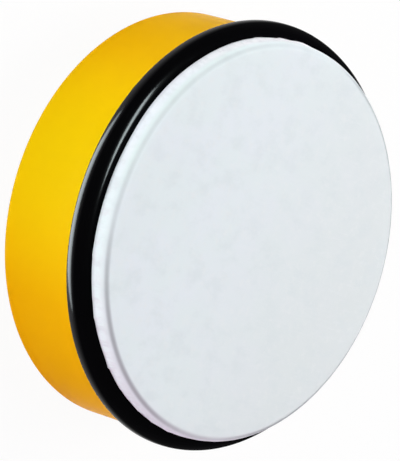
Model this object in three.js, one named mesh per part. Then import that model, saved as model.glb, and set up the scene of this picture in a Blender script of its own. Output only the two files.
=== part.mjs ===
// Hand drum: an open-backed moulded shell with a natural skin, tucked round a wire flesh hoop
// and held down by a counter hoop. Millimetres, +Z up, lying on its open back with the skin on top.
import * as THREE from 'three';

// Driving dimensions
const SHELL_RADIUS = 77.5; // outside of the shell wall
const SHELL_WALL = 3.0; // thickness of the shell wall
const SHOULDER_WALL = 3.0; // thickness of the step
const SHOULDER_CHAMFER = 0.6; // broken edge outside the step
const NECK_WALL = 3.1; // thickness of the neck above the step
const BACK_OUTER_ROUND = 1.3; // round outside the open back
const BACK_INNER_ROUND = 0.6; // round inside the open back
const BEARING_ROUND = 2.2; // round of the bead that the skin runs over
const BEARING_BEVEL = 45; // degrees that the bead falls away inside
const HEAD_HEIGHT = 51.6; // open back to the playing face
const NECK_HEIGHT = 13.0; // step that the tucked edge of the skin sits on, to the playing face
const SEAT_INSET = 1.6; // how far the tuck stands in from the outside of the shell
const SKIRT_FLARE = 0.6; // how far the skin leans out from its rim to its tuck
const SKIN = 0.7; // thickness of the skin
const TUCK_GAP = 2.4; // gap between the skin's end and the bead above it
const WIRE = 2.4; // diameter of the flesh hoop's wire
const HOOP_WALL = 3.2; // thickness of the counter hoop round the shell
const HOOP_HEIGHT = 7.9; // height of the counter hoop
const HOOP_OVERLAP = 1.6; // how far the counter hoop reaches down over the shell
const HOOP_REAR_ROUND = 0.9; // round at the back of the counter hoop
const HOOP_BAND = 0.4; // straight band between that round and the crown
const HOOP_LIP_EDGE = 0.4; // flat edge between the crown and the skin
const CLEARANCE = 0.3; // gap where two pieces seat

// Facets
const FACETS_ROUND = 72;
const STEPS_SMALL_ROUND = 3;
const STEPS_BEAD = 10;
const STEPS_RIM = 5;
const STEPS_TUCK = 7;
const STEPS_CROWN = 7;
const STEPS_SEAT = 2;
const WIRE_SIDES = 8;

// Places that several pieces share. A section is a list of [radius, height] points, and an angle
// in it is in degrees above the outward radius.
const shoulder = HEAD_HEIGHT - NECK_HEIGHT;
const tuckRound = WIRE / 2 + CLEARANCE + SKIN;
const tuckOutside = SHELL_RADIUS - SEAT_INSET;
const tuckCentre = [tuckOutside - tuckRound, shoulder + CLEARANCE + tuckRound];
const rimRound = BEARING_ROUND + CLEARANCE + SKIN;
const rimCentre = [tuckOutside - SKIRT_FLARE - rimRound, HEAD_HEIGHT - rimRound];
const skirtTilt = tangentTilt(rimCentre, rimRound, tuckCentre, tuckRound);

// Angle at which one straight run touches the outside of both the upper and the lower round.
function tangentTilt(upper, upperRound, lower, lowerRound) {
  const out = lower[0] - upper[0];
  const down = upper[1] - lower[1];
  const lean = Math.atan2(out, down);
  const taper = Math.asin((upperRound - lowerRound) / Math.hypot(out, down));
  return THREE.MathUtils.radToDeg(lean - taper);
}

function arc(centre, radius, from, to, steps, height = radius) {
  return Array.from({ length: steps + 1 }, (_, i) => {
    const angle = THREE.MathUtils.degToRad(from + ((to - from) * i) / steps);
    return [centre[0] + radius * Math.cos(angle), centre[1] + height * Math.sin(angle)];
  });
}

// Solid of revolution about Z. A section that doesn't end on the axis is closed on itself.
function revolve(section) {
  const onAxis = section[0][0] === 0;
  const outline = onAxis ? section : [...section, section[0]];
  const points = outline.map(([radius, height]) => new THREE.Vector2(radius, height));
  return new THREE.LatheGeometry(points, FACETS_ROUND).rotateX(Math.PI / 2);
}

function piece(name, geometry, color, roughness, metalness) {
  const mesh = new THREE.Mesh(geometry, new THREE.MeshStandardMaterial({ color, roughness, metalness }));
  mesh.name = name;
  return mesh;
}

// Shell: plain wall, step for the tucked skin and the hoop, and a neck that ends in a bearing bead.
function shellSection() {
  const inside = SHELL_RADIUS - SHELL_WALL;
  const neckOutside = tuckCentre[0] - tuckRound - CLEARANCE;
  const neckInside = neckOutside - NECK_WALL;
  const stepUnderside = shoulder - SHOULDER_WALL;
  const beadFoot = THREE.MathUtils.radToDeg(Math.acos((neckOutside - rimCentre[0]) / BEARING_ROUND));
  const bead = arc(rimCentre, BEARING_ROUND, -beadFoot, 90 + BEARING_BEVEL, STEPS_BEAD);
  const [bevelTop, bevelHeight] = bead.at(-1);
  const bevelDrop = (bevelTop - neckInside) * Math.tan(THREE.MathUtils.degToRad(BEARING_BEVEL));
  const outerRound = [SHELL_RADIUS - BACK_OUTER_ROUND, BACK_OUTER_ROUND];
  const innerRound = [inside + BACK_INNER_ROUND, BACK_INNER_ROUND];
  return [
    ...arc(outerRound, BACK_OUTER_ROUND, -90, 0, STEPS_SMALL_ROUND),
    [SHELL_RADIUS, shoulder - SHOULDER_CHAMFER],
    [SHELL_RADIUS - SHOULDER_CHAMFER, shoulder],
    [neckOutside, shoulder],
    ...bead,
    [neckInside, bevelHeight - bevelDrop],
    [neckInside, stepUnderside],
    [inside, stepUnderside - (inside - neckInside)],
    ...arc(innerRound, BACK_INNER_ROUND, 180, 270, STEPS_SMALL_ROUND),
  ];
}

// Drum head: flat face, rim over the bead, leaning skirt, and the tuck round the flesh hoop.
function headSection() {
  const tuckInside = tuckCentre[0] - tuckRound;
  const beadUnderside = rimCentre[1] - Math.sqrt(BEARING_ROUND ** 2 - (tuckInside - rimCentre[0]) ** 2);
  const tuckTop = beadUnderside - TUCK_GAP;
  return [
    [0, HEAD_HEIGHT],
    ...arc(rimCentre, rimRound, 90, skirtTilt, STEPS_RIM),
    ...arc(tuckCentre, tuckRound, skirtTilt, -180, STEPS_TUCK),
    [tuckInside, tuckTop],
    [tuckInside + SKIN, tuckTop],
    ...arc(tuckCentre, tuckRound - SKIN, -180, skirtTilt, STEPS_TUCK),
    ...arc(rimCentre, rimRound - SKIN, skirtTilt, 90, STEPS_RIM),
    [0, HEAD_HEIGHT - SKIN],
  ];
}

// Counter hoop: sleeve over the shell, ledge on the step, rounded crown, and a lip over the tucked skin.
function hoopSection() {
  const bore = SHELL_RADIUS + CLEARANCE;
  const outside = bore + HOOP_WALL;
  const back = shoulder - HOOP_OVERLAP;
  const front = back + HOOP_HEIGHT;
  const ledge = shoulder + CLEARANCE;
  const seat = arc(tuckCentre, tuckRound + CLEARANCE, skirtTilt, 0, STEPS_SEAT);
  const lipLean = Math.tan(THREE.MathUtils.degToRad(skirtTilt));
  const lip = seat[0][0] - (front - seat[0][1]) * lipLean;
  const rearRound = [outside - HOOP_REAR_ROUND, back + HOOP_REAR_ROUND];
  const crownFoot = back + HOOP_REAR_ROUND + HOOP_BAND;
  const crownInside = lip + HOOP_LIP_EDGE;
  return [
    [bore, back],
    ...arc(rearRound, HOOP_REAR_ROUND, -90, 0, STEPS_SMALL_ROUND),
    ...arc([crownInside, crownFoot], outside - crownInside, 0, 90, STEPS_CROWN, front - crownFoot),
    [lip, front],
    ...seat,
    [tuckOutside + CLEARANCE, ledge],
    [bore, ledge],
  ];
}

// Flesh hoop: one ring of round wire inside the tuck.
function fleshHoop() {
  const ring = new THREE.TorusGeometry(tuckCentre[0], WIRE / 2, WIRE_SIDES, FACETS_ROUND);
  return ring.translate(0, 0, tuckCentre[1]);
}

const drum = new THREE.Group();
drum.add(
  piece('shell', revolve(shellSection()), 0xf2c010, 0.3, 0),
  piece('drum_head', revolve(headSection().reverse()), 0xe4eaee, 0.6, 0),
  piece('flesh_hoop', fleshHoop(), 0xb8bcc0, 0.35, 1),
  piece('counter_hoop', revolve(hoopSection()), 0x060608, 0.2, 0),
);

export default drum;
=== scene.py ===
# Hand drum on its open back: a skin head over a moulded shell, held by a black counter hoop.
# Metres, +Z up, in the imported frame. The skin is a sheet, and the turned pieces come from one node tree.
import math
import random

import bmesh
import bpy
from mathutils import Matrix, Vector


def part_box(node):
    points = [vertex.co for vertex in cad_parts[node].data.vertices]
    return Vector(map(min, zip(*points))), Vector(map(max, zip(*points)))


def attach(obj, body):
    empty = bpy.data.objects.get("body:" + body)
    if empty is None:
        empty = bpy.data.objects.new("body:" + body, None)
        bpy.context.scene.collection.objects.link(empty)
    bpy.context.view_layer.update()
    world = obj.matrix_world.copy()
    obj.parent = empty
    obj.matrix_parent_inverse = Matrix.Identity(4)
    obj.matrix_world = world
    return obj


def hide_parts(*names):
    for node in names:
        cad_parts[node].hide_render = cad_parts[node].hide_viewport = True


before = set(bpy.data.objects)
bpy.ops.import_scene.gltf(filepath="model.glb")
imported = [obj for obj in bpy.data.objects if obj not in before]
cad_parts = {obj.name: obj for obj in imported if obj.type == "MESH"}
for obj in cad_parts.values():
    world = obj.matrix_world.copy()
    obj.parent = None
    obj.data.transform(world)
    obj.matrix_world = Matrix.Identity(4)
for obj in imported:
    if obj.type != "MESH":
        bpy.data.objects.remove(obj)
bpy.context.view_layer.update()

MM = 0.001
BODY = "root"
# Gap where two pieces seat
CLEARANCE = 0.3 * MM

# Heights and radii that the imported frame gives
shell_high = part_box("shell")[1]
head_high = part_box("drum_head")[1]
wire_low, wire_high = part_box("flesh_hoop")
hoop_low, hoop_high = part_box("counter_hoop")
SHELL_RADIUS = shell_high.x
HEAD_HEIGHT = head_high.z
HOOP_RADIUS = hoop_high.x
HOOP_BACK = hoop_low.z
HOOP_FRONT = hoop_high.z
WIRE_ROUND = (wire_high.z - wire_low.z) / 2
WIRE_RADIUS = wire_high.x - WIRE_ROUND
WIRE_HEIGHT = (wire_high.z + wire_low.z) / 2
# A little under the full round, so that the wire's four corners stay apart
WIRE_CORNER = 0.999 * WIRE_ROUND

# Moulded shell
SHELL_WALL = 3.0 * MM
BACK_OUTER_ROUND = 1.3 * MM
BACK_INNER_ROUND = 0.6 * MM
STEP_HEIGHT = 38.6 * MM
STEP_WALL = 3.0 * MM
STEP_ROUND = 0.6 * MM
NECK_OUTSIDE = 71.2 * MM
NECK_INSIDE = 68.1 * MM
BEAD_ROUND = 2.2 * MM
BEAD_MIDDLE = 72.1 * MM
BEAD_BEVEL = math.radians(45)
# A little under the full round, so that the bead's corners stay apart
BEAD_TOP_ROUND = 0.995 * BEAD_ROUND
BEAD_FOOT_ROUND = 0.9 * BEAD_ROUND
INSIDE_ROUND = 1.5 * MM

# Counter hoop
HOOP_BORE = SHELL_RADIUS + CLEARANCE
HOOP_BORE_ROUND = 0.25 * MM
HOOP_REAR_ROUND = 0.9 * MM
CROWN_FOOT = 38.3 * MM
CROWN_STEPS = 28
HOOP_LIP = 75.24 * MM
HOOP_LIP_EDGE = 0.45 * MM
HOOP_LIP_ROUND = 0.12 * MM
HOOP_THROAT = (76.0 * MM, 43.6 * MM)
HOOP_LEDGE = (76.2 * MM, 38.9 * MM)
LEDGE_ROUND = 0.2 * MM

# Skin
SKIN = 0.7 * MM
RIM_RADIUS = 75.25 * MM
RIM_ROUND = 3.2 * MM
TUCK_ROUND = 2.2 * MM
TUCK_END = 43.88 * MM
SKIN_SECTORS = 640
# Radii of the face's rings in mm. The first ones have all the sectors, and each later one has half as many,
# down to the fewest
FACE_RINGS = (72.05, 70.0, 66.0, 60.0, 51.0, 40.0, 29.0, 19.0, 11.0, 5.0)
FULL_RINGS = 4
FEWEST_SECTORS = 10
RIM_STEPS = 10
TUCK_STEPS = 12
# Shares of the way from the rim to the lip
SKIRT_STATIONS = (0.0, 0.2, 0.38, 0.52, 0.64, 0.74, 0.82, 0.88, 0.925, 0.96, 0.985, 1.0)
# The lip draws the skin in at its own height, and less above and below
PINCH = 0.36 * MM
PINCH_REACH = 1.3 * MM
# Small tucks that stand out over the lip: azimuth, reach in mm, run in degrees
SEEN_TUCKS = (
    (188.8, 0.42, 4.5), (198.4, 0.22, 4.0), (285.2, 0.20, 4.0), (303.3, 0.34, 3.8), (319.5, 0.48, 3.4),
    (327.5, 0.14, 5.0), (338.3, 0.32, 3.2), (345.6, 0.32, 3.2), (352.2, 0.32, 3.2),
)
# Others like them, drawn at random: azimuths from and to, degrees from one to the next, reach in mm
OTHER_TUCKS = (8.0, 165.0)
OTHER_TUCK_STEP = (7.0, 15.0)
OTHER_TUCK_REACH = (0.10, 0.30)
OTHER_TUCK_RUN = 0.5
TUCK_SEED = 11
# A tuck grows by a power along its run, drops within so many degrees, stands up from the lip within a small
# share of the skirt's height, and fades by a power up to the rim
TUCK_GROWTH = 1.4
TUCK_DROP = 1.2
TUCK_FOOT = 0.012
TUCK_FADE = 1.5
# Longer stretches that stand out over the lip: middle azimuth, reach in mm, half width in degrees
PUFFS = (
    (180.0, 0.72, 6.0), (205.0, 0.72, 28.0), (234.0, 0.74, 27.0),
    (285.0, 0.48, 24.0), (306.0, 0.25, 16.0), (328.0, 0.18, 12.0),
)

# Painted shade along the rim's round, where the skin turns over the bead: mm from the middle of the round,
# and the way it is greyest, where the skirt's painted shade is deepest too
SHADE_LINE_MIDDLE = 0.42
SHADE_WAY = math.radians(316)
# The way the skin's face turns darker and a little warmer, and the way the shell turns lighter and yellower,
# which is painted light
WARM_WAY = math.radians(80)
LIT_SIDE_WAY = math.radians(264)

# Colours of the shell: two close yellows, the lighter, yellower one painted on as light toward one side, and
# rubbed edges
YELLOWS = (0.815, 0.427, 0.0022, 1), (0.831, 0.447, 0.0032, 1)
YELLOW_PAINTED_LIT = (0.876, 0.594, 0.0030, 1)
YELLOW_RUBBED = (0.92, 0.68, 0.10, 1)
# Colours of the hoop and of the wire: plain and marked, dull and bright
BLACKS = (0.0006, 0.0006, 0.0010, 1), (0.0040, 0.0040, 0.0048, 1)
STEELS = (0.46, 0.47, 0.48, 1), (0.60, 0.61, 0.62, 1)
# Colours of the skin's face: two cloudy tints, the darker, warmer one, and its patches, flecks and fibres
FACE_TINTS = (0.802, 0.889, 0.898, 1), (0.813, 0.883, 0.915, 1)
FACE_WARM = (0.745, 0.800, 0.795, 1)
FACE_PATCH = (0.710, 0.788, 0.800, 1)
FACE_FLECK = (0.835, 0.880, 0.876, 1)
FACE_FIBRE = (0.835, 0.882, 0.897, 1)
# Colours of its skirt: away from the greyest way, nearer it, darker as painted shade, and a greener tint at
# it, then blotches, and the painted shade of its creases and of its foot by the lip
SKIRT_TINTS = (0.960, 0.968, 0.998, 1), (0.855, 0.884, 0.948, 1)
SKIRT_SHADE_SIDE_TINT = (0.824, 0.932, 0.940, 1)
SKIRT_BLOTCH = (0.790, 0.805, 0.850, 1)
SKIRT_CREASE_SHADE = (0.705, 0.750, 0.785, 1)
SKIRT_FOOT_SHADE = (0.450, 0.430, 0.470, 1)
# Grey of the painted shade along the rim's round
RIM_SHADE_GREY = (0.275, 0.300, 0.318, 1)

# Turned pieces. Beside each round, where there is room, a point holds the flat run
SECTORS = 288
ROUND_STEPS = 10
HOLD = 0.25 * MM
HOLD_ROOM = 2.5

# View
IMAGE_WIDTH, IMAGE_HEIGHT = 400, 461
VIEW_TILT = math.radians(46.78)
VIEW_ROLL = math.radians(16.46)
VIEW_DISTANCE = 1.6206
VIEW_AIM = (15.96 * MM, -5.70 * MM)
FOCAL_PIXELS = 4322.0
SENSOR = 36.0

# Soft lamps: name, way to it along the photograph's right, up and back, side, level and tint
LAMP_DISTANCE = 1.3
PLAIN = (1, 1, 1)
SOFT_LAMPS = (
    ("key", (0.96, 0.05, -0.12), 0.6, 0.665, PLAIN),
    ("top", (0.62, 0.66, 0.42), 0.5, 0.19, (1.0, 0.87, 1.0)),
    ("left", (-0.36, 0.465, 0.79), 0.5, 0.53, (0.92, 1.01, 0.97)),
    ("front", (0.93, -0.22, 0.30), 0.5, 0.29, PLAIN),
    ("side", (-0.60, -0.10, 0.79), 0.5, 0.19, PLAIN),
    ("low", (-0.27, -0.92, 0.28), 0.5, 0.43, (0.95, 0.66, 0.85)),
)
# Lamp that shows along the hoop's crown, only in its gloss
STREAK_WAY = (0.563, 0.222, 0.79)
STREAK_ALONG = (0.18, -0.64, 0.15)
STREAK_SIZE = (0.32, 0.88)
STREAK_LEVEL = 15.0
STREAK_TINT = (0.85, 0.98, 1.0)
# Lamp beside the drum that shows in the hoop's back edge, only in its gloss
EDGE_WAY = math.radians(275)
EDGE_RADIUS = 128 * MM
EDGE_HEIGHT = 0.5 * MM
EDGE_SIZE = (0.045, 0.20)
EDGE_ENERGY = 0.34
EDGE_TINT = (0.86, 0.96, 1.0)
# Light that the world gives the drum, and the white floor: half its width, its paper and how far it glows
WORLD_LEVEL = 0.04
FLOOR_REACH = 15.0
FLOOR_PAPER = (0.86, 0.86, 0.86, 1)
FLOOR_GLOW = 0.95
WHITE = (1, 1, 1, 1)


# ---- node helpers


def put(tree, kind, inputs=None, **settings):
    """Adds a node, sets its properties, and sets or links its inputs by name or position."""
    made = tree.nodes.new(kind)
    for name, value in settings.items():
        setattr(made, name, value)
    for key, value in (inputs or {}).items():
        socket = made.inputs[key]
        if isinstance(value, bpy.types.NodeSocket):
            tree.links.new(value, socket)
        else:
            socket.default_value = value
    return made


def math_node(tree, operation, a, b=0.0, clamp=False):
    return put(tree, "ShaderNodeMath", {0: a, 1: b}, operation=operation, use_clamp=clamp).outputs[0]


def ramp(tree, value, from_low, from_high, to_low=0.0, to_high=1.0):
    """Smooth change from one value to another."""
    inputs = {"Value": value, 1: from_low, 2: from_high, 3: to_low, 4: to_high}
    return put(tree, "ShaderNodeMapRange", inputs, interpolation_type="SMOOTHSTEP").outputs["Result"]


def blend_colour(tree, factor, a, b):
    return put(tree, "ShaderNodeMix", {0: factor, 6: a, 7: b}, data_type="RGBA").outputs[2]


def noise(tree, vector, scale, detail=3.0, roughness=0.5):
    inputs = {"Vector": vector, "Scale": scale, "Detail": detail, "Roughness": roughness}
    return put(tree, "ShaderNodeTexNoise", inputs).outputs["Fac"]


def stretched(tree, vector, scale):
    return put(tree, "ShaderNodeMapping", {"Vector": vector, "Scale": scale}).outputs["Vector"]


def share_toward(tree, place, azimuth, radius):
    """Share of a radius that a place lies toward an azimuth."""
    way = (math.cos(azimuth) / radius, math.sin(azimuth) / radius, 0)
    return put(tree, "ShaderNodeVectorMath", {0: place, 1: way}, operation="DOT_PRODUCT").outputs["Value"]


def set_bump(tree, surface, height, strength, distance):
    """Bumps a surface by a height, and gives the normal."""
    inputs = {"Height": height, "Strength": strength, "Distance": distance}
    normal = put(tree, "ShaderNodeBump", inputs).outputs["Normal"]
    tree.links.new(normal, surface.inputs["Normal"])
    return normal


def new_material(name):
    material = bpy.data.materials.new(name)
    material.use_nodes = True
    tree = material.node_tree
    tree.nodes.clear()
    surface = put(tree, "ShaderNodeBsdfPrincipled")
    put(tree, "ShaderNodeOutputMaterial", {"Surface": surface.outputs[0]})
    place = put(tree, "ShaderNodeTexCoord").outputs["Object"]
    return material, tree, surface, place


# ---- materials


def moulded_finish():
    """Node group that both mouldings share: orange peel for the bump, and scuffs that run round the drum."""
    group = bpy.data.node_groups.new("moulded_finish", "ShaderNodeTree")
    socket = group.interface.new_socket
    socket("Place", in_out="INPUT", socket_type="NodeSocketVector")
    for name in ("Peel Scale", "Edge Height", "Edge Width"):
        socket(name, in_out="INPUT", socket_type="NodeSocketFloat")
    for name in ("Peel", "Scuffs", "Edge"):
        socket(name, in_out="OUTPUT", socket_type="NodeSocketFloat")
    given = put(group, "NodeGroupInput").outputs
    peel = noise(group, given["Place"], given["Peel Scale"], 2.0)
    streaks = noise(group, stretched(group, given["Place"], (30.0, 30.0, 420.0)), 3.0, 6.0, 0.62)
    patches = noise(group, given["Place"], 38.0, 3.0, 0.6)
    thin = ramp(group, streaks, 0.60, 0.72)
    scuffs = math_node(group, "MULTIPLY", thin, ramp(group, patches, 0.48, 0.68))
    height = put(group, "ShaderNodeSeparateXYZ", {0: given["Place"]}).outputs["Z"]
    away = math_node(group, "ABSOLUTE", math_node(group, "SUBTRACT", height, given["Edge Height"]))
    share = math_node(group, "DIVIDE", away, given["Edge Width"])
    near = math_node(group, "SUBTRACT", 1.0, share, clamp=True)
    chips = noise(group, given["Place"], 240.0, 5.0, 0.7)
    # Chipped wear along the moulding's edge
    wear_and_shade = math_node(group, "MULTIPLY", near, ramp(group, chips, 0.42, 0.66))
    put(group, "NodeGroupOutput", {"Peel": peel, "Scuffs": scuffs, "Edge": wear_and_shade})
    return group


def moulded(tree, place, finish, peel_scale, edge_height, edge_width):
    """Puts the moulded finish in a material. Gives its outputs, and its scuffs and worn edge together."""
    inputs = {"Place": place, "Peel Scale": peel_scale, "Edge Height": edge_height, "Edge Width": edge_width}
    made = put(tree, "ShaderNodeGroup", inputs, node_tree=finish).outputs
    return made, math_node(tree, "ADD", made["Scuffs"], made["Edge"], clamp=True)


def shell_plastic(finish):
    material, tree, surface, place = new_material("shell_plastic")
    made, marks = moulded(tree, place, finish, 700.0, 0.0, 2.2 * MM)
    tone = noise(tree, place, 26.0, 4.0, 0.55)
    yellow = blend_colour(tree, ramp(tree, tone, 0.3, 0.7), *YELLOWS)
    # Painted light: the shell turns a lighter, yellower yellow toward one side, as if lit more there
    painted_light = ramp(tree, share_toward(tree, place, LIT_SIDE_WAY, SHELL_RADIUS), 0.74, 1.10)
    yellow = blend_colour(tree, painted_light, yellow, YELLOW_PAINTED_LIT)
    yellow = blend_colour(tree, math_node(tree, "MULTIPLY", made["Edge"], 0.35), yellow, YELLOW_RUBBED)
    tree.links.new(yellow, surface.inputs["Base Color"])
    tree.links.new(ramp(tree, marks, 0.0, 1.0, 0.26, 0.46), surface.inputs["Roughness"])
    surface.inputs["Specular IOR Level"].default_value = 0.002
    relief = math_node(tree, "ADD", made["Peel"], math_node(tree, "MULTIPLY", made["Scuffs"], -0.5))
    set_bump(tree, surface, relief, 0.10, 0.02 * MM)
    return material


def hoop_plastic(finish):
    """Black moulding, with a clear coat round its back edge that thins out up the crown."""
    material, tree, surface, place = new_material("hoop_plastic")
    made, marks = moulded(tree, place, finish, 480.0, HOOP_BACK, 0.7 * MM)
    tree.links.new(blend_colour(tree, marks, *BLACKS), surface.inputs["Base Color"])
    tree.links.new(ramp(tree, marks, 0.0, 1.0, 0.13, 0.30), surface.inputs["Roughness"])
    surface.inputs["Specular IOR Level"].default_value = 0.0
    height = put(tree, "ShaderNodeSeparateXYZ", {0: place}).outputs["Z"]
    coat = ramp(tree, height, HOOP_BACK + 1.1 * MM, HOOP_BACK + 4.2 * MM, 0.60, 0.03)
    tree.links.new(coat, surface.inputs["Coat Weight"])
    surface.inputs["Coat Roughness"].default_value = 0.16
    normal = set_bump(tree, surface, made["Peel"], 0.08, 0.03 * MM)
    tree.links.new(normal, surface.inputs["Coat Normal"])
    return material


def skin_face(tree, place, cloud, patch, fibre):
    """Colour of the face: soft cloudy tints that turn darker and warmer one way, with patches, flecks and
    fibres.
    """
    fleck = noise(tree, place, 340.0, 3.0, 0.6)
    warm = share_toward(tree, place, WARM_WAY, RIM_RADIUS)
    face = blend_colour(tree, ramp(tree, cloud, 0.36, 0.64), *FACE_TINTS)
    face = blend_colour(tree, ramp(tree, warm, -0.6, 1.0, 0.0, 0.85), face, FACE_WARM)
    face = blend_colour(tree, ramp(tree, patch, 0.44, 0.70, 0.0, 0.38), face, FACE_PATCH)
    face = blend_colour(tree, ramp(tree, fleck, 0.50, 0.72, 0.0, 0.30), face, FACE_FLECK)
    return blend_colour(tree, ramp(tree, fibre, 0.50, 0.75, 0.0, 0.25), face, FACE_FIBRE)


def skin_skirt(tree, place, along, wear_and_shade, crinkle):
    """Colour of the skirt, with blotches, and with painted shade: darker toward one way, in creases that are
    strongest that way, and at the foot by the lip.
    """
    blotch = noise(tree, place, 300.0, 4.0, 0.6)
    # Painted shade: the skirt turns darker toward one way, with a greener tint right at it
    drawn = blend_colour(tree, ramp(tree, wear_and_shade, -0.30, 0.20), *SKIRT_TINTS)
    drawn = blend_colour(tree, ramp(tree, wear_and_shade, 0.45, 0.95), drawn, SKIRT_SHADE_SIDE_TINT)
    drawn = blend_colour(tree, ramp(tree, blotch, 0.46, 0.70, 0.0, 0.60), drawn, SKIRT_BLOTCH)
    # Painted shade in the skirt's creases, deepest toward the shaded way
    most = ramp(tree, wear_and_shade, 0.75, 0.98, 0.24, 0.56)
    crease_shade = math_node(tree, "MULTIPLY", ramp(tree, crinkle, 0.46, 0.68), most)
    drawn = blend_colour(tree, crease_shade, drawn, SKIRT_CREASE_SHADE)
    # Painted shade at the skirt's foot, darker next to the hoop's lip
    return blend_colour(tree, ramp(tree, along, 4.2, 5.9, 0.0, 0.30), drawn, SKIRT_FOOT_SHADE)


def rim_shade_line(tree, place, along, wear_and_shade, cloud):
    """How grey the painted shade is along the rim's round, where the skin turns over the bead: most toward
    the greyest way and at the far side.
    """
    off_line = math_node(tree, "ABSOLUTE", math_node(tree, "ADD", along, SHADE_LINE_MIDDLE))
    across = put(tree, "ShaderNodeSeparateXYZ", {0: place}).outputs["Y"]
    far = ramp(tree, across, 0.10 * RIM_RADIUS, 0.60 * RIM_RADIUS, 0.0, 0.66)
    plain = ramp(tree, wear_and_shade, -0.80, -0.20, 0.12, 0.29)
    depth = math_node(tree, "ADD", plain, ramp(tree, wear_and_shade, 0.70, 0.98, 0.0, 0.43))
    depth = math_node(tree, "ADD", depth, far)
    depth = math_node(tree, "MULTIPLY", depth, ramp(tree, cloud, 0.2, 0.8, 0.85, 1.0))
    return math_node(tree, "MULTIPLY", ramp(tree, off_line, 0.10, 1.45, 1.0, 0.0), depth)


def natural_skin():
    """Scraped skin with fine fibres and pores. Its attribute along is in mm past the middle of the rim."""
    material, tree, surface, place = new_material("natural_skin")
    cloud = noise(tree, place, 44.0, 4.0, 0.55)
    patch = noise(tree, stretched(tree, place, (1.0, 0.7, 1.0)), 150.0, 5.0, 0.62)
    fibre = noise(tree, stretched(tree, place, (1.0, 0.16, 1.0)), 900.0, 6.0, 0.65)
    crinkle = noise(tree, stretched(tree, place, (1.0, 1.0, 0.25)), 420.0, 4.0, 0.6)
    pores = put(tree, "ShaderNodeTexVoronoi", {"Vector": place, "Scale": 1100.0}).outputs["Distance"]
    along = put(tree, "ShaderNodeAttribute", attribute_name="along").outputs["Fac"]
    # Share toward the way where the skin's painted shade is deepest
    wear_and_shade = share_toward(tree, place, SHADE_WAY, RIM_RADIUS)
    skirt = ramp(tree, along, 0.5, 3.5)
    face = skin_face(tree, place, cloud, patch, fibre)
    tinted = blend_colour(tree, skirt, face, skin_skirt(tree, place, along, wear_and_shade, crinkle))
    # Painted shade along the rim's round
    rim_shaded = blend_colour(tree, rim_shade_line(tree, place, along, wear_and_shade, cloud), tinted, RIM_SHADE_GREY)
    tree.links.new(rim_shaded, surface.inputs["Base Color"])
    tree.links.new(ramp(tree, patch, 0.3, 0.8, 0.52, 0.68), surface.inputs["Roughness"])
    surface.inputs["Specular IOR Level"].default_value = 0.03
    creases = math_node(tree, "MULTIPLY", math_node(tree, "MULTIPLY", crinkle, 30.0), skirt)
    relief = math_node(tree, "ADD", math_node(tree, "MULTIPLY", pores, 0.35), fibre)
    relief = math_node(tree, "ADD", relief, math_node(tree, "MULTIPLY", patch, 2.5))
    relief = math_node(tree, "ADD", relief, creases)
    set_bump(tree, surface, relief, 0.22, 0.05 * MM)
    return material


def hoop_wire():
    material, tree, surface, place = new_material("hoop_wire")
    drawn = noise(tree, stretched(tree, place, (40.0, 40.0, 900.0)), 4.0, 5.0, 0.6)
    steel = blend_colour(tree, ramp(tree, drawn, 0.35, 0.65), *STEELS)
    tree.links.new(steel, surface.inputs["Base Color"])
    surface.inputs["Metallic"].default_value = 1.0
    tree.links.new(ramp(tree, drawn, 0.3, 0.7, 0.28, 0.42), surface.inputs["Roughness"])
    set_bump(tree, surface, drawn, 0.2, 0.02 * MM)
    return material


def seen_ray(tree):
    """1 for rays that show a background: from the camera, in a reflection or through glass."""
    path = put(tree, "ShaderNodeLightPath").outputs
    either = math_node(tree, "MAXIMUM", path["Is Camera Ray"], path["Is Glossy Ray"])
    return math_node(tree, "MAXIMUM", either, path["Is Transmission Ray"])


def floor_white():
    """White paper. To the camera and in gloss it mostly glows, so that the shadow on it is light."""
    material = bpy.data.materials.new("floor_white")
    material.use_nodes = True
    tree = material.node_tree
    tree.nodes.clear()
    paper = put(tree, "ShaderNodeBsdfDiffuse", {"Color": FLOOR_PAPER}).outputs[0]
    glow = put(tree, "ShaderNodeEmission", {"Color": WHITE, "Strength": 1.0}).outputs[0]
    share = math_node(tree, "MULTIPLY", seen_ray(tree), FLOOR_GLOW)
    mixed = put(tree, "ShaderNodeMixShader", {0: share, 1: paper, 2: glow}).outputs[0]
    put(tree, "ShaderNodeOutputMaterial", {"Surface": mixed})
    return material


# ---- turned pieces


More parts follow.
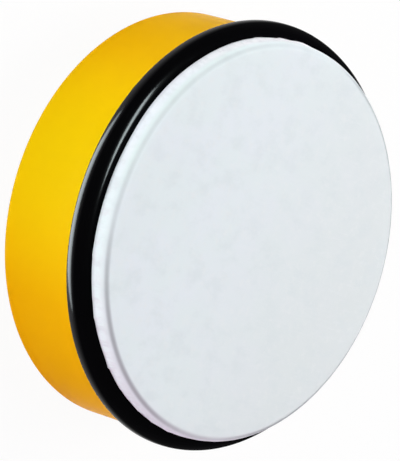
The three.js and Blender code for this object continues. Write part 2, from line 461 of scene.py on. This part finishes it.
def turned_tree():
    """Node tree that rounds a section's corners and turns it about Z. Radius is in X and height in Y."""
    tree = bpy.data.node_groups.new("turned_piece", "GeometryNodeTree")
    socket = tree.interface.new_socket
    socket("Section", in_out="INPUT", socket_type="NodeSocketGeometry")
    kinds = {"Turning Radius": "Float", "Sectors": "Int", "Round Steps": "Int", "Material": "Material"}
    ids = {}
    for name, kind in kinds.items():
        ids[name] = socket(name, in_out="INPUT", socket_type="NodeSocket" + kind).identifier
    socket("Piece", in_out="OUTPUT", socket_type="NodeSocketGeometry")
    given = put(tree, "NodeGroupInput").outputs
    line = put(tree, "GeometryNodeMeshToCurve", {"Mesh": given["Section"]}).outputs["Curve"]
    radius = put(tree, "GeometryNodeInputNamedAttribute", {"Name": "round"}, data_type="FLOAT").outputs[0]
    rounds = {"Curve": line, "Radius": radius, "Count": given["Round Steps"]}
    rounded = put(tree, "GeometryNodeFilletCurve", rounds, mode="POLY").outputs["Curve"]
    place = put(tree, "ShaderNodeSeparateXYZ", {0: put(tree, "GeometryNodeInputPosition").outputs[0]}).outputs
    outward = math_node(tree, "SUBTRACT", place["X"], given["Turning Radius"])
    down = math_node(tree, "MULTIPLY", place["Y"], -1.0)
    turned = put(tree, "ShaderNodeCombineXYZ", {0: outward, 1: down}).outputs[0]
    profile = put(tree, "GeometryNodeSetPosition", {"Geometry": rounded, "Position": turned}).outputs[0]
    around = {"Resolution": given["Sectors"], "Radius": given["Turning Radius"]}
    circle = put(tree, "GeometryNodeCurvePrimitiveCircle", around).outputs["Curve"]
    swept = {"Curve": circle, "Profile Curve": profile}
    sweep = put(tree, "GeometryNodeCurveToMesh", swept).outputs[0]
    smooth = put(tree, "GeometryNodeSetShadeSmooth", {0: sweep}).outputs[0]
    real = put(tree, "GeometryNodeRealizeInstances", {0: smooth}).outputs[0]
    coat = {"Geometry": real, "Material": given["Material"]}
    coated = put(tree, "GeometryNodeSetMaterial", coat).outputs[0]
    put(tree, "NodeGroupOutput", {"Piece": coated})
    return tree, ids


def with_holds(corners):
    """Adds points just past each round, so that the flat runs between them shade flat."""
    rows = []
    count = len(corners)
    for i, (x, y, rounding) in enumerate(corners):
        if rounding == 0.0:
            rows.append((x, y, rounding))
            continue
        here = Vector((x, y))
        before = Vector(corners[i - 1][:2])
        after = Vector(corners[(i + 1) % count][:2])
        turn = (here - before).angle(after - here)
        reach = rounding * math.tan(turn / 2) + HOLD
        if (here - before).length > HOLD_ROOM * reach:
            rows.append((*(here + (before - here).normalized() * reach), 0.0))
        rows.append((x, y, rounding))
        if (after - here).length > HOLD_ROOM * reach:
            rows.append((*(here + (after - here).normalized() * reach), 0.0))
    return rows


def turned_piece(name, corners, tree, ids, material):
    """Turns a section, given as corners of (radius, height, round), into one closed piece."""
    rows = with_holds(corners)
    section = bpy.data.meshes.new(name + "_section")
    count = len(rows)
    section.from_pydata([(x, y, 0) for x, y, _ in rows], [(i, (i + 1) % count) for i in range(count)], [])
    rounds = section.attributes.new("round", "FLOAT", "POINT")
    rounds.data.foreach_set("value", [rounding for _, _, rounding in rows])
    maker = bpy.data.objects.new(name + "_section", section)
    bpy.context.scene.collection.objects.link(maker)
    modifier = maker.modifiers.new("turned", "NODES")
    modifier.node_group = tree
    modifier[ids["Turning Radius"]] = max(x for x, _, _ in rows)
    modifier[ids["Sectors"]] = SECTORS
    modifier[ids["Round Steps"]] = ROUND_STEPS
    modifier[ids["Material"]] = material
    made = maker.evaluated_get(bpy.context.evaluated_depsgraph_get())
    mesh = bpy.data.meshes.new_from_object(made)
    mesh.name = name
    bpy.data.objects.remove(maker)
    return finished(name, mesh)


def finished(name, mesh):
    """Puts a mesh in the scene as a piece, with its faces turned outwards."""
    work = bmesh.new()
    work.from_mesh(mesh)
    bmesh.ops.recalc_face_normals(work, faces=work.faces)
    work.to_mesh(mesh)
    work.free()
    piece = bpy.data.objects.new(name, mesh)
    bpy.context.scene.collection.objects.link(piece)
    return piece


def shell_corners():
    inside = SHELL_RADIUS - SHELL_WALL
    bead_top = HEAD_HEIGHT - SKIN - CLEARANCE
    bead_outside = BEAD_MIDDLE + BEAD_ROUND
    bead_foot = bead_top - BEAD_ROUND - math.sqrt(BEAD_ROUND ** 2 - (NECK_OUTSIDE - BEAD_MIDDLE) ** 2)
    bevel_top = BEAD_MIDDLE - BEAD_ROUND * math.tan(BEAD_BEVEL / 2)
    bevel_foot = bead_top - (bevel_top - NECK_INSIDE) * math.tan(BEAD_BEVEL)
    under_step = STEP_HEIGHT - STEP_WALL
    return [
        (SHELL_RADIUS, 0.0, BACK_OUTER_ROUND),
        (SHELL_RADIUS, STEP_HEIGHT, STEP_ROUND),
        (NECK_OUTSIDE, STEP_HEIGHT, STEP_ROUND),
        (NECK_OUTSIDE, bead_foot, STEP_ROUND / 2),
        (bead_outside, bead_foot, BEAD_FOOT_ROUND),
        (bead_outside, bead_top, BEAD_TOP_ROUND),
        (bevel_top, bead_top, BEAD_TOP_ROUND),
        (NECK_INSIDE, bevel_foot, STEP_ROUND),
        (NECK_INSIDE, under_step, INSIDE_ROUND),
        (inside, under_step - (inside - NECK_INSIDE), INSIDE_ROUND),
        (inside, 0.0, BACK_INNER_ROUND),
    ]


def hoop_corners():
    crown_inside = HOOP_LIP + HOOP_LIP_EDGE
    crown = []
    for i in range(CROWN_STEPS + 1):
        turn = math.pi / 2 * i / CROWN_STEPS
        out = crown_inside + (HOOP_RADIUS - crown_inside) * math.cos(turn)
        crown.append((out, CROWN_FOOT + (HOOP_FRONT - CROWN_FOOT) * math.sin(turn), 0.0))
    return [
        (HOOP_BORE, HOOP_BACK, HOOP_BORE_ROUND),
        (HOOP_RADIUS, HOOP_BACK, HOOP_REAR_ROUND),
        *crown,
        (HOOP_LIP, HOOP_FRONT, HOOP_LIP_ROUND),
        (*HOOP_THROAT, LEDGE_ROUND),
        (*HOOP_LEDGE, LEDGE_ROUND),
        (HOOP_BORE, HOOP_LEDGE[1], LEDGE_ROUND),
    ]


def wire_corners():
    low, high = WIRE_HEIGHT - WIRE_ROUND, WIRE_HEIGHT + WIRE_ROUND
    near, far = WIRE_RADIUS - WIRE_ROUND, WIRE_RADIUS + WIRE_ROUND
    return [(x, y, WIRE_CORNER) for x, y in ((near, low), (far, low), (far, high), (near, high))]


# ---- skin


def skirt_tilt():
    """Lean of the skirt: the straight run that touches the rim's round and the tuck's."""
    out = WIRE_RADIUS - (RIM_RADIUS - RIM_ROUND)
    down = HEAD_HEIGHT - RIM_ROUND - WIRE_HEIGHT
    return math.atan2(out, down) - math.asin((RIM_ROUND - TUCK_ROUND) / math.hypot(out, down))


def skin_stations():
    """Rows of radius, height and the way outward along each, from the rim's top to the tucked end."""
    tilt = skirt_tilt()
    rim = Vector((RIM_RADIUS - RIM_ROUND, HEAD_HEIGHT - RIM_ROUND))
    tuck = Vector((WIRE_RADIUS, WIRE_HEIGHT))
    rows = []
    for i in range(1, RIM_STEPS):
        turn = math.pi / 2 + (tilt - math.pi / 2) * i / RIM_STEPS
        way = Vector((math.cos(turn), math.sin(turn)))
        rows.append((*(rim + way * RIM_ROUND), *way))
    way = Vector((math.cos(tilt), math.sin(tilt)))
    top, foot = rim + way * RIM_ROUND, tuck + way * TUCK_ROUND
    lip = (top.y - HOOP_FRONT) / (top.y - foot.y)
    rows += [(*top.lerp(foot, share * lip), *way) for share in SKIRT_STATIONS]
    for i in range(TUCK_STEPS + 1):
        turn = tilt + (-math.pi - tilt) * i / TUCK_STEPS
        way = Vector((math.cos(turn), math.sin(turn)))
        rows.append((*(tuck + way * TUCK_ROUND), *way))
    rows.append((tuck.x - TUCK_ROUND, TUCK_END, -1.0, 0.0))
    return rows


def tuck_list():
    """The seen tucks, and others like them round the far side."""
    draw = random.Random(TUCK_SEED)
    rows = list(SEEN_TUCKS)
    azimuth = OTHER_TUCKS[0]
    while azimuth < OTHER_TUCKS[1]:
        run = draw.uniform(*OTHER_TUCK_STEP)
        azimuth += run
        rows.append((azimuth, draw.uniform(*OTHER_TUCK_REACH), run * OTHER_TUCK_RUN))
    return rows


def tuck_reach(azimuth, tucks):
    """How far the skin stands out at an azimuth: it grows along each run and drops at the tuck."""
    reach = 0.0
    for at, depth, run in tucks:
        before = (at - azimuth + 180) % 360 - 180
        if 0 <= before < run:
            reach = max(reach, depth * (1 - before / run) ** TUCK_GROWTH)
        elif -TUCK_DROP < before < 0:
            reach = max(reach, depth * (1 + before / TUCK_DROP))
    for middle, depth, half in PUFFS:
        off = (azimuth - middle + 180) % 360 - 180
        if abs(off) < half:
            reach += depth * (1 + math.cos(math.pi * off / half)) / 2
    return reach * MM


def tuck_share(height, skirt_top):
    """Share of a tuck's reach at a height: nothing at the lip, most just above it, and none at the rim."""
    up = (height - HOOP_FRONT) / (skirt_top - HOOP_FRONT)
    if up <= 0.0 or up >= 1.0:
        return 0.0
    return min(1.0, up / TUCK_FOOT) * (1 - up) ** TUCK_FADE


def pinch(height):
    """How far the lip draws the skin in at a height."""
    off = abs(height - HOOP_FRONT) / PINCH_REACH
    return PINCH * (1 + math.cos(math.pi * off)) / 2 if off < 1 else 0.0


def join_rings(faces, wide, narrow):
    """Faces between two rings. The second has as many points as the first, or half."""
    count = len(wide)
    if len(narrow) == count:
        faces += [(wide[i], wide[(i + 1) % count], narrow[(i + 1) % count], narrow[i]) for i in range(count)]
        return
    for i in range(len(narrow)):
        a, b, c = wide[2 * i], wide[2 * i + 1], wide[(2 * i + 2) % count]
        d, e = narrow[i], narrow[(i + 1) % len(narrow)]
        faces += [(a, b, d), (b, e, d), (b, c, e)]


def skin_mesh():
    stations = skin_stations()
    skirt_top = stations[RIM_STEPS - 1][1]
    tucks = tuck_list()
    turns = [2 * math.pi * i / SKIN_SECTORS for i in range(SKIN_SECTORS)]
    reaches = [tuck_reach(math.degrees(turn), tucks) for turn in turns]
    rim_middle = RIM_ROUND * (math.pi / 2 - skirt_tilt()) / 2
    points, along, faces = [], [], []

    def ring(radius, height, distance, sectors=SKIN_SECTORS, share=0.0):
        start = len(points)
        step = SKIN_SECTORS // sectors
        for i in range(0, SKIN_SECTORS, step):
            out = radius + share * reaches[i]
            points.append((out * math.cos(turns[i]), out * math.sin(turns[i]), height))
            along.append(distance)
        return list(range(start, len(points)))

    def side(depth):
        """One side of the skin, depth in from its outer side: rings from the tucked end to the middle."""
        rings = []
        length = 0.0
        last = Vector((RIM_RADIUS - RIM_ROUND, HEAD_HEIGHT))
        for radius, height, out, rise in stations:
            length += (Vector((radius, height)) - last).length
            last = Vector((radius, height))
            share = tuck_share(height, skirt_top)
            drawn = radius - depth * out - (pinch(height) if out > 0 else 0.0)
            rings.append(ring(drawn, height - depth * rise, (length - rim_middle) / MM, share=share))
        rings.reverse()
        sectors = SKIN_SECTORS
        for k, face_radius in enumerate(FACE_RINGS):
            if k >= FULL_RINGS:
                sectors = max(sectors // 2, FEWEST_SECTORS)
            radius = face_radius * MM
            distance = (radius - RIM_RADIUS + RIM_ROUND - rim_middle) / MM
            rings.append(ring(radius, HEAD_HEIGHT - depth, distance, sectors))
        for wide, narrow in zip(rings, rings[1:]):
            join_rings(faces, wide, narrow)
        middle = len(points)
        points.append((0.0, 0.0, HEAD_HEIGHT - depth))
        along.append(-RIM_RADIUS / MM)
        inner = rings[-1]
        faces.extend((inner[i], inner[(i + 1) % len(inner)], middle) for i in range(len(inner)))
        return rings[0]

    join_rings(faces, side(0.0), side(SKIN))
    mesh = bpy.data.meshes.new("skin")
    mesh.from_pydata(points, [], faces)
    mesh.attributes.new("along", "FLOAT", "POINT").data.foreach_set("value", along)
    mesh.shade_smooth()
    return mesh


def skin_flat_size():
    """Diameter of the round skin as it was cut: twice its developed section."""
    length = RIM_RADIUS - RIM_ROUND
    last = Vector((length, HEAD_HEIGHT))
    for radius, height, _, _ in skin_stations():
        length += (Vector((radius, height)) - last).length
        last = Vector((radius, height))
    return 2 * length


# ---- view, light and floor


def view_axes():
    """The photograph's right, up and back. The drum stands on edge in it, so the camera is rolled."""
    tilt, roll = VIEW_TILT, VIEW_ROLL
    back = Vector((0, -math.sin(tilt), math.cos(tilt)))
    right = Vector((-math.sin(roll), math.cos(roll) * math.cos(tilt), math.cos(roll) * math.sin(tilt)))
    return right, back.cross(right), back


def from_view(right, up, back):
    """A direction given along the photograph's right, up and back."""
    axes = view_axes()
    return (axes[0] * right + axes[1] * up + axes[2] * back).normalized()


def place_camera():
    right, up, back = view_axes()
    data = bpy.data.cameras.new("camera")
    data.sensor_width = SENSOR
    data.lens = FOCAL_PIXELS * SENSOR / max(IMAGE_WIDTH, IMAGE_HEIGHT)
    data.clip_end = 100.0
    camera = bpy.data.objects.new("camera", data)
    spot = right * VIEW_AIM[0] + up * VIEW_AIM[1] + back * VIEW_DISTANCE
    turn = Matrix((right, up, back)).transposed().to_4x4()
    camera.matrix_world = Matrix.Translation(spot) @ turn
    bpy.context.scene.collection.objects.link(camera)
    bpy.context.scene.camera = camera


def area_lamp(name, spot, back, long_way, size, energy, tint, shape="RECTANGLE", gloss_only=False):
    """Lamp at a spot, with the way to its back, and its length turned along the long way."""
    data = bpy.data.lights.new(name, "AREA")
    data.shape = shape
    data.size, data.size_y = size
    data.energy = energy
    data.color = tint
    lamp = bpy.data.objects.new(name, data)
    long_way = (long_way - back * long_way.dot(back)).normalized()
    turn = Matrix((long_way.cross(back), long_way, back)).transposed().to_4x4()
    lamp.matrix_world = Matrix.Translation(spot) @ turn
    lamp.visible_camera = False
    lamp.visible_diffuse = not gloss_only
    lamp.visible_glossy = gloss_only
    bpy.context.scene.collection.objects.link(lamp)


def softbox(name, way, size, level, tint, along=(0, 1, 0), shape="RECTANGLE", gloss_only=False):
    """Lamp that faces the drum. Level is the light on a white surface that faces it."""
    back = from_view(*way)
    spot = Vector((0, 0, HEAD_HEIGHT / 2)) + back * LAMP_DISTANCE
    energy = level * (math.pi * LAMP_DISTANCE) ** 2
    area_lamp(name, spot, back, from_view(*along), size, energy, tint, shape, gloss_only)


def light_scene():
    for name, way, side, level, tint in SOFT_LAMPS:
        softbox(name, way, (side, side), level, tint)
    softbox(
        "streak", STREAK_WAY, STREAK_SIZE, STREAK_LEVEL, STREAK_TINT, STREAK_ALONG, "ELLIPSE", gloss_only=True
    )
    out = Vector((math.cos(EDGE_WAY), math.sin(EDGE_WAY), 0))
    up = Vector((0, 0, 1))
    spot = out * EDGE_RADIUS + up * EDGE_HEIGHT
    area_lamp("edge", spot, -up, up.cross(out), EDGE_SIZE, EDGE_ENERGY, EDGE_TINT, "ELLIPSE", gloss_only=True)
    world = bpy.data.worlds.new("studio")
    bpy.context.scene.world = world
    world.use_nodes = True
    tree = world.node_tree
    tree.nodes.clear()
    soft = put(tree, "ShaderNodeBackground", {"Color": WHITE, "Strength": WORLD_LEVEL}).outputs[0]
    white = put(tree, "ShaderNodeBackground", {"Color": WHITE, "Strength": 1.0}).outputs[0]
    mixed = put(tree, "ShaderNodeMixShader", {0: seen_ray(tree), 1: soft, 2: white}).outputs[0]
    put(tree, "ShaderNodeOutputWorld", {"Surface": mixed})


def lay_floor():
    ways = ((-1, -1), (1, -1), (1, 1), (-1, 1))
    mesh = bpy.data.meshes.new("floor")
    mesh.from_pydata([(x * FLOOR_REACH, y * FLOOR_REACH, 0) for x, y in ways], [], [(0, 1, 2, 3)])
    mesh.materials.append(floor_white())
    floor = bpy.data.objects.new("floor", mesh)
    bpy.context.scene.collection.objects.link(floor)


# ---- the drum

scene = bpy.context.scene
scene.view_settings.view_transform = "Standard"
place_camera()
light_scene()
lay_floor()

finish = moulded_finish()
tree, ids = turned_tree()
turned = (
    ("moulded_shell", "shell", "shell_plastic", shell_corners(), shell_plastic(finish)),
    ("black_hoop", "counter_hoop", "hoop_plastic", hoop_corners(), hoop_plastic(finish)),
    ("wire_ring", "flesh_hoop", "hoop_wire", wire_corners(), hoop_wire()),
)
for name, node, slot, corners, material in turned:
    piece = turned_piece(name, corners, tree, ids, material)
    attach(piece, BODY)
    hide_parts(node)

skin_data = skin_mesh()
skin_data.materials.append(natural_skin())
skin = finished("skin", skin_data)
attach(skin, BODY)
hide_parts("drum_head")
skin_across = skin_flat_size()
